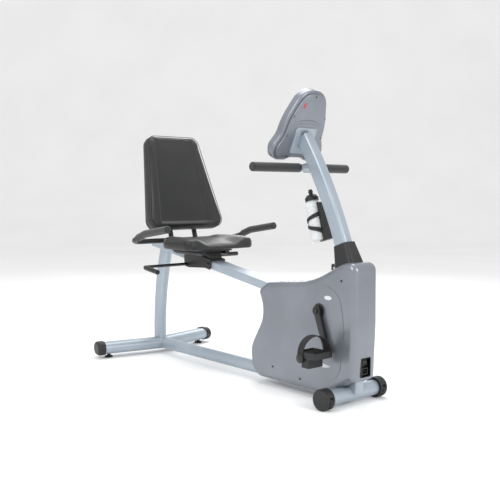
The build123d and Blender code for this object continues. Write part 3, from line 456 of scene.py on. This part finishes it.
def smoothStep(value):
    value = min(1.0, max(0.0, value))
    return value * value * (3 - 2 * value)


def puffed(piece, pinned, pressure, cap, frames=14):
    # cloth under air pressure, held along its seams; no point moves further than the cap
    rest = [v.co.copy() for v in piece.data.vertices]
    group = piece.vertex_groups.new(name="seams")
    group.add(pinned, 1.0, "REPLACE")
    cloth = piece.modifiers.new("puff", "CLOTH")
    cloth.settings.quality = 6
    cloth.settings.mass = 0.25
    cloth.settings.tension_stiffness = 18
    cloth.settings.compression_stiffness = 18
    cloth.settings.bending_stiffness = 1.2
    cloth.settings.use_pressure = True
    cloth.settings.uniform_pressure_force = pressure
    cloth.settings.vertex_group_mass = "seams"
    cloth.settings.effector_weights.gravity = 0
    cloth.collision_settings.use_collision = False
    cloth.point_cache.frame_start = 1
    cloth.point_cache.frame_end = frames
    scene = bpy.context.scene
    for step in range(1, frames + 1):
        scene.frame_set(step)
    shape = piece.evaluated_get(bpy.context.evaluated_depsgraph_get()).data
    moved = [v.co.copy() for v in shape.vertices]
    piece.modifiers.remove(cloth)
    for vertex, before, after in zip(piece.data.vertices, rest, moved):
        step = after - before
        if step.length > cap:
            step = step * (cap / step.length)
        vertex.co = before + step
    scene.frame_set(1)
    piece.vertex_groups.remove(group)


def subdivided(piece, levels=1):
    modifier = piece.modifiers.new("smooth", "SUBSURF")
    modifier.levels = levels
    modifier.render_levels = levels


def padSkin(local, outline, edgeRings, innerShares, topHeight, bottomHeight):
    # a pad over an outline: edge rings are (inset, height share), then rings shrink to the middle
    centre = sum(outline, Vector((0, 0))) / len(outline)
    inward = []
    for i, point in enumerate(outline):
        along = (outline[(i + 1) % len(outline)] - outline[i - 1]).normalized()
        normal = Vector((-along.y, along.x))
        inward.append(normal if normal.dot(centre - point) > 0 else -normal)
    rings, levels = [], []

    def ringAt(inset, shrink, side, share):
        ring = []
        for point, normal in zip(outline, inward):
            flat = point + normal * inset
            flat = centre + (flat - centre) * shrink
            top = topHeight(flat.x, flat.y)
            bottom = bottomHeight(flat.x, flat.y)
            height = bottom + (top - bottom) * share if side is None else (top if side > 0 else bottom)
            ring.append(onto(local, (flat.x, flat.y, height)))
        rings.append(ring)
        levels.append(share)

    bottomInset = edgeRings[0][0]
    for shrink in reversed(innerShares):
        ringAt(bottomInset, shrink, -1, 0.0)
    for inset, share in edgeRings:
        ringAt(inset, 1.0, None, share)
    for shrink in innerShares:
        ringAt(edgeRings[-1][0], shrink, 1, 1.0)
    points, faces = loft(rings, capStart=False, capEnd=False)
    size = len(outline)
    for first in (0, (len(rings) - 1) * size):
        middle = sum((points[first + i] for i in range(size)), Vector((0, 0, 0))) / size
        points.append(middle)
        for i in range(size):
            faces.append((first + i, first + (i + 1) % size, len(points) - 1))
    return points, faces, rings


# camera and light

cameraValues = {"place": (2.761, -2.330, 0.860), "tilt": 85.70, "turn": 49.15, "lens": 55.3}
camera = bpy.data.objects.new("studioCamera", bpy.data.cameras.new("studioCamera"))
camera.location = cameraValues["place"]
camera.rotation_euler = (math.radians(cameraValues["tilt"]), 0, math.radians(cameraValues["turn"]))
camera.data.lens = cameraValues["lens"]
camera.data.sensor_width = 36
camera.data.clip_end = 60
bpy.context.scene.collection.objects.link(camera)
bpy.context.scene.camera = camera

lightValues = {
    "keyLight": {"place": (0.4, -3.4, 2.9), "size": 1.6, "power": 62},
    "frontLight": {"place": (3.6, 0.2, 2.0), "size": 1.4, "power": 44},
    "topLight": {"place": (-0.6, 0.6, 3.6), "size": 2.6, "power": 60},
    "rimLight": {"place": (-2.6, 2.8, 2.2), "size": 1.6, "power": 30},
}
for name, value in lightValues.items():
    lamp = bpy.data.lights.new(name, "AREA")
    lamp.shape = "DISK"
    lamp.size = value["size"]
    lamp.energy = value["power"]
    lampObject = bpy.data.objects.new(name, lamp)
    lampObject.location = value["place"]
    aim = Vector((0, 0, 0.5)) - Vector(value["place"])
    lampObject.rotation_euler = aim.to_track_quat("-Z", "Y").to_euler()
    bpy.context.scene.collection.objects.link(lampObject)

world = bpy.data.worlds.new("studioWorld")
bpy.context.scene.world = world
world.use_nodes = True
world.node_tree.nodes["Background"].inputs["Color"].default_value = srgb("#FFFFFF")
world.node_tree.nodes["Background"].inputs["Strength"].default_value = 0.85
bpy.context.scene.view_settings.view_transform = "Standard"    # plain tones: white stays white, black stays deep


def studioFloor():
    # pale matt paint on a smooth floor, curving up far behind
    material, tree, shader, place = startMaterial("mattFloorPaint", {"Roughness": 0.9})
    colourDrift(tree, place, shader, "#F6F6F6", "#FAFAFA", 900)
    reach = 14.0
    depth = 9.0
    bend = 3.0
    rows = []
    for k in range(-1, 13):
        angle = math.radians(90 * max(k, 0) / 12)
        along = -10 if k < 0 else depth + bend * math.sin(angle)
        rows.append((along, bend * (1 - math.cos(angle))))
    rows.append((depth + bend, 9.0))
    turn = math.radians(cameraValues["turn"])
    ahead = Vector((-math.sin(turn), math.cos(turn), 0))
    side = Vector((math.cos(turn), math.sin(turn), 0))
    points = []
    for along, height in rows:
        for across in (-reach, reach):
            points.append(ahead * along + side * across + Vector((0, 0, height)))
    faces = [(2 * i, 2 * i + 1, 2 * i + 3, 2 * i + 2) for i in range(len(rows) - 1)]
    mesh = bpy.data.meshes.new("studioFloor")
    mesh.from_pydata([tuple(p) for p in points], [], faces)
    mesh.materials.append(material)
    mesh.shade_smooth()
    floor = bpy.data.objects.new("studioFloor", mesh)
    bpy.context.scene.collection.objects.link(floor)


studioFloor()
print("studio ready")

# seat back

backValues = {
    "foot": (-399 * mm, 0, 682 * mm), "lean": 17.3, "height": 492 * mm, "halfBottom": 231 * mm,
    "halfTop": 156 * mm, "corner": 50 * mm, "padBottom": 56 * mm, "padTop": 46 * mm,
    "panelBottom": 168 * mm, "panelTop": 118 * mm, "creaseDepth": 15 * mm,
    "pipe": 1.7 * mm, "pipeInset": 4.2 * mm, "pipeShare": 0.905,
}


def seatBack():
    v = backValues
    lean = math.radians(v["lean"])
    local = frameAt(v["foot"], (0, 1, 0), (-math.sin(lean), 0, math.cos(lean)))
    corners = [(-v["halfBottom"], 0), (v["halfBottom"], 0), (v["halfTop"], v["height"]),
               (-v["halfTop"], v["height"])]
    outline = roundedOutline(corners, [v["corner"]] * 4, 7.0)

    def face(u, h):
        # flat panel between raised side bolsters, its creases dying out towards the top
        t = h / v["height"]
        panelHalf = v["panelBottom"] + (v["panelTop"] - v["panelBottom"]) * t
        inside = min(panelHalf - abs(u), h - 30 * mm, v["height"] - 22 * mm - h)
        depth = v["creaseDepth"] * (1 - 0.75 * smoothStep(t))
        sunk = depth * smoothStep((inside + 5 * mm) / (14 * mm))
        groove = 6 * mm * (1 - 0.8 * t) * math.exp(-((inside - 1 * mm) / (4 * mm)) ** 2)
        return -2 * mm - sunk - groove + 4 * mm * smoothStep(inside / (90 * mm))

    def padRear(u, h):
        return -(v["padBottom"] + (v["padTop"] - v["padBottom"]) * h / v["height"])

    def shellRear(u, h):
        full = 82 * mm + (62 - 82) * mm * h / v["height"]
        dome = 1 - smoothStep(max(abs(u) / (190 * mm), abs(h / v["height"] - 0.5) * 1.9) - 0.3)
        return -full + 8 * mm * (1 - dome)

    edge = [(5 * mm, 0.0), (1.5 * mm, 0.07), (0.0, 0.22), (0.0, 0.55), (1.5 * mm, 0.75), (5 * mm, 0.9),
            (10 * mm, 0.975), (16 * mm, 1.0)]
    shares = [0.97, 0.94, 0.91, 0.88, 0.85, 0.82, 0.79, 0.76, 0.72, 0.68, 0.62, 0.54, 0.44, 0.32, 0.18, 0.07]
    points, faces, rings = padSkin(local, outline, edge, shares, face, padRear)
    pad = meshObject("seatBackPad", points, faces, vinyl, "seat")
    size = len(outline)
    rearRings = len(shares) + 2
    puffed(pad, list(range(rearRings * size)) + [len(points) - 2], 3.0, 4 * mm)
    subdivided(pad)
    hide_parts("seat_back")

    shellEdge = [(12 * mm, 0.0), (7 * mm, 0.12), (4.5 * mm, 0.4), (4 * mm, 0.9), (4 * mm, 1.0)]
    points, faces, _ = padSkin(local, outline, shellEdge, [0.9, 0.75, 0.55, 0.3, 0.12], padRear, shellRear)
    shell = meshObject("seatBackShell", points, faces, blackAbs, "seat")
    subdivided(shell)

    # piping where the front cover meets the boxing
    rings = []
    centre = sum(outline, Vector((0, 0))) / size
    for i, point in enumerate(outline):
        along = (outline[(i + 1) % size] - outline[i - 1]).normalized()
        normal = Vector((-along.y, along.x))
        normal = normal if normal.dot(centre - point) > 0 else -normal
        flat = point + normal * v["pipeInset"]
        top = face(flat.x, flat.y)
        bottom = padRear(flat.x, flat.y)
        outward = local[0].to_3x3() @ Vector((-normal.x, -normal.y, 0))
        up = local[0].to_3x3() @ Vector((0, 0, 1))
        base = onto(local, (flat.x, flat.y, bottom + (top - bottom) * v["pipeShare"]))
        base = base + (outward + up) * (1.0 * mm)
        rings.append([base + (outward * math.cos(2 * math.pi * k / 8) + up * math.sin(2 * math.pi * k / 8))
                      * v["pipe"] for k in range(8)])
    points = [p for ring in rings for p in ring]
    faces = ringFaces(0, len(rings), 8)
    last = (len(rings) - 1) * 8
    for k in range(8):
        faces.append((last + k, last + (k + 1) % 8, (k + 1) % 8, k))
    meshObject("seatBackPiping", points, faces, vinyl, "seat")
    print("seat back built")


seatBack()

# seat cushion

seatValues = {
    "rear": -395 * mm, "front": -130 * mm, "half": 207 * mm, "base": 582 * mm, "top": 640 * mm,
    "rearCorner": 78 * mm, "frontCorner": 46 * mm,
}


def seatCushion():
    v = seatValues
    middle = (v["rear"] + v["front"]) / 2
    halfDepth = (v["front"] - v["rear"]) / 2
    local = (Matrix.Identity(4), Vector((middle, 0, v["base"])))
    corners = [(-halfDepth, -v["half"]), (halfDepth, -v["half"]), (halfDepth, v["half"]), (-halfDepth, v["half"])]
    radii = [v["rearCorner"], v["frontCorner"], v["frontCorner"], v["rearCorner"]]
    outline = roundedOutline(corners, radii, 7.0)
    full = v["top"] - v["base"]

    def topOf(x, y):
        # dished for the sitter, with raised thigh wings and a front that rolls down between them
        wing = smoothStep((abs(y) - 70 * mm) / (90 * mm))
        roll = smoothStep((x - 10 * mm) / (125 * mm))
        tail = smoothStep((-x - 60 * mm) / (75 * mm))
        return full - (1 - wing) * (12 * mm + 22 * mm * roll) - 5 * mm * roll * wing + 4 * mm * tail * (1 - wing)

    def baseOf(x, y):
        return 2 * mm

    edge = [(9 * mm, 0.0), (3 * mm, 0.05), (0.5 * mm, 0.18), (0.0, 0.42), (1.0 * mm, 0.62), (4 * mm, 0.8),
            (9 * mm, 0.92), (16 * mm, 0.985), (24 * mm, 1.0)]
    shares = [0.96, 0.92, 0.88, 0.84, 0.8, 0.75, 0.7, 0.64, 0.57, 0.49, 0.4, 0.3, 0.2, 0.1]
    points, faces, rings = padSkin(local, outline, edge, shares, topOf, baseOf)
    pad = meshObject("seatCushionPad", points, faces, vinyl, "seat")
    size = len(outline)
    puffed(pad, list(range((len(shares) + 2) * size)) + [len(points) - 2], 3.0, 4 * mm)
    subdivided(pad)
    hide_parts("seat_cushion")
    print("seat cushion built")


seatCushion()

# bottle cage

cageValues = {
    "foot": (514 * mm, 0, 655 * mm), "tilt": 15.0, "radius": 35.4 * mm, "thick": 4.0 * mm, "bore": 33.4,
    "wedgeLow": -5, "wedgeHigh": 150, "wedgeFoot": 58, "wedgeHead": 34,
}


def bottleCage():
    v = cageValues
    lean = math.radians(v["tilt"])
    up = Vector((-math.sin(lean), 0, math.cos(lean)))
    toMast = Vector((math.cos(lean), 0, math.sin(lean)))
    side = Vector((0, 1, 0))
    foot = Vector(v["foot"])

    def around(angle, level):
        out = toMast * math.cos(angle) + side * math.sin(angle)
        return foot + up * level + out * v["radius"], out

    def band(start, end, low, high, wide, hand):
        path, normals, widths = [], [], []
        for k in range(33):
            t = k / 32
            point, out = around(hand * math.radians(start + (end - start) * t), (low + (high - low) * t) * mm)
            path.append(point)
            normals.append(out)
            widths.append((wide[0] + (wide[1] - wide[0]) * t) * mm)
        return roundedBand(path, normals, widths, v["thick"])

    parts = []
    for hand in (-1, 1):
        parts.append(band(14, 172, 112, 84, (18, 10), hand))
        parts.append(band(14, 172, 40, 76, (20, 10), hand))
        parts.append(band(160, 179, 80, 80, (16, 18), hand))
    # wedge from the bottle to the mast: a plate with a raised rim on each side
    for across, thick in ((0, 18), (-10.5, 3), (10.5, 3)):
        rows = []
        for k in range(8):
            level = v["wedgeLow"] + (v["wedgeHigh"] - v["wedgeLow"]) * k / 7
            outer = v["bore"] + v["wedgeFoot"] + (v["wedgeHead"] - v["wedgeFoot"]) * k / 7
            inner = v["bore"] + (2.5 if across == 0 else 0)
            ring = []
            for out, wide in ((inner, -1), (inner, 1), (outer, 1), (outer, -1)):
                ring.append(foot + up * (level * mm) + toMast * (out * mm)
                            + side * ((across + wide * thick / 2) * mm))
            rows.append(ring)
        parts.append(loft(rows))
    # shelf under the bottle, and the round stop at the top of the wedge
    shelf = []
    for level in (-5, -1):
        shelf.append([foot + up * (level * mm) + toMast * (out * mm) + side * (wide * mm)
                      for out, wide in ((12, -11), (36, -12), (36, 12), (12, 11))])
    parts.append(loft(shelf))
    stop = foot + up * (153 * mm) + toMast * (38.4 * mm)
    parts.append(turned(frameAt(stop, (1, 0, 0), (0, 0, 1)),
                        [(5 * mm, -12 * mm), (7.8 * mm, -10.5 * mm), (7.8 * mm, 10.5 * mm), (5 * mm, 12 * mm)], 28))
    points, faces = joinParts(parts)
    cage = meshObject("bottleCageMoulding", points, faces, smoothAbs, "frame", smooth=False)
    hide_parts("bottle_cage")
    print("bottle cage built")


bottleCage()

# pedals

pedalValues = {"half": 50.6 * mm, "rise": 61 * mm, "thick": 2.6 * mm, "toothMm": 4.0}


def pedalParts(hand, side):
    v = pedalValues
    spin = joints[hand + "_pedal_spin"]["pos_m"]
    centre = Vector((spin[0], side * 159 * mm, spin[2]))
    body = hand + "_pedal"
    path, normals, widths, thicks = [], [], [], []
    steps = 76
    straight = 26 * mm
    for k in range(steps + 1):
        t = k / steps
        angle = math.pi * (t * 1.36 - 0.18)
        if angle < 0:
            y, z = v["half"], 14 * mm + angle / (0.18 * math.pi) * straight
            out = Vector((0, side, 0))
        elif angle > math.pi:
            y, z = -v["half"], 14 * mm - (angle - math.pi) / (0.18 * math.pi) * straight
            out = Vector((0, -side, 0))
        else:
            y, z = v["half"] * math.cos(angle), 14 * mm + v["rise"] * math.sin(angle)
            out = Vector((0, side * math.cos(angle) / v["half"], math.sin(angle) / v["rise"])).normalized()
        x = -28.5 * mm + 60 * mm * smoothStep(t)
        path.append(centre + Vector((x, side * y, z)))
        normals.append(out)
        widths.append((30 + 6 * t) * mm)
        # ratchet teeth moulded across the outer half of the strap
        toothed = t < 0.42
        thicks.append(v["thick"] + (1.5 * mm if toothed and k % 2 else 0))
    points, faces = roundedBand(path, normals, widths, thicks)
    strap = meshObject(hand + "FootStrap", points, faces, rubber, body, smooth=False)
    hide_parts("pedal_strap_" + hand)

    # buckle disc on the outer end, and the strap's inner button
    outer = frameAt(centre + Vector((-28 * mm, side * 52.2 * mm, -15 * mm)), (1, 0, 0), (0, 0, -side))
    buckle = turned(outer, [(18 * mm, -2.5 * mm), (19 * mm, -1.5 * mm), (19 * mm, 2 * mm), (17.5 * mm, 3.2 * mm),
                            (9 * mm, 3.2 * mm), (8 * mm, 4.6 * mm), (6.5 * mm, 5.4 * mm), (2 * mm, 5.6 * mm)], 40)
    points, faces = buckle
    meshObject(hand + "StrapBuckle", points, faces, smoothAbs, body)

    # raised tread bars on the platform
    bars = []
    for x in (-46, -15.5, -5, 5, 15.5, 46):
        for top in (1, -1):
            path = [centre + Vector((x * mm, y * mm, top * 12.6 * mm)) for y in range(-43, 44, 3)]
            heights = [(2.6 if i % 4 < 2 else 1.4) * mm for i in range(len(path))]
            bars.append(roundedBand(path, [Vector((0, 0, top))] * len(path), 3.2 * mm, heights))
    points, faces = joinParts(bars)
    meshObject(hand + "PedalTread", points, faces, blackAbs, body, smooth=False)


pedalParts("right", -1)
pedalParts("left", 1)
print("pedals built")

# console trim

consoleValues = {"plate": (431 * mm, 0, 1114 * mm), "tilt": 24.5}


def consoleTrim():
    v = consoleValues
    tilt = math.radians(v["tilt"])
    rear = frameAt(v["plate"], (0, 1, 0), (math.sin(tilt), 0, math.cos(tilt)))
    out = rear[0].to_3x3().col[2]
    screws = []
    for y, h in ((0, 153), (91, 62), (-91, 62), (101, -23), (-101, -23), (65, -114), (-65, -114)):
        level = -4.4 if abs(y) < 70 else -5.4
        screws.append(socketScrew((rear[0], onto(rear, (y * mm, h * mm, level * mm))), 4.2 * mm))
    points, faces = joinParts(screws)
    meshObject("consoleScrews", points, faces, smoothAbs, "frame")
    plateScrews = []
    for y in (-52, 52):
        for h in (-90, 10):
            plateScrews.append(socketScrew((rear[0], onto(rear, (y * mm, h * mm, 0.4 * mm))), 3.6 * mm))
    points, faces = joinParts(plateScrews)
    meshObject("plateScrews", points, faces, zinc, "frame")
    # blank rating label
    label = roundedOutline([(-57 * mm, 101 * mm), (-43 * mm, 101 * mm), (-43 * mm, 123 * mm), (-57 * mm, 123 * mm)],
                           [1.5 * mm] * 4, 1.0)
    rings = [[onto(rear, (p.x, p.y, h)) for p in label] for h in (-4.2 * mm, -3.75 * mm)]
    points, faces = loft(rings)
    meshObject("ratingLabel", points, faces, redLabel, "frame", smooth=False)
    # curved rain lip above the mounting plate
    path, normals, thick, width = [], [], [], []
    for k in range(41):
        t = k / 40
        y = (-78 + 156 * t) * mm
        h = (31 + 14 * math.sin(math.pi * t)) * mm
        path.append(onto(rear, (y, h, -3.4 * mm)))
        normals.append(out)
        fade = math.sin(math.pi * t) ** 0.5
        thick.append((1.0 + 7.0 * fade) * mm)
        width.append((5 + 9 * fade) * mm)
    points, faces = roundedBand(path, normals, width, thick, edge=0.7)
    lip = meshObject("consoleLip", points, faces, coverPaint, "frame")
    subdivided(lip)
    print("console trim built")


consoleTrim()

# badges on the covers

badgeValues = {"side": 71.9 * mm, "small": ((632, 433), 20, 8.5), "long": ((594, 152), 52, 8)}


def coverBadges():
    parts = []
    for side in (-1, 1):
        local = frameAt((0, side * badgeValues["side"], 0), (-side, 0, 0), (0, 0, 1))
        for (x, z), halfLong, halfHigh in (badgeValues["small"], badgeValues["long"]):
            rings = []
            for shrink, height in ((1.0, -0.4 * mm), (1.0, 0.3 * mm), (0.97, 0.6 * mm)):
                rings.append([onto(local, ((-side * x + halfLong * shrink * math.cos(2 * math.pi * k / 64)) * mm,
                                           (z + halfHigh * shrink * math.sin(2 * math.pi * k / 64)) * mm, height))
                              for k in range(64)])
            parts.append(loft(rings))
    points, faces = joinParts(parts)
    meshObject("coverBadges", points, faces, paleLabel, "frame", smooth=False)
    print("badges built")


coverBadges()
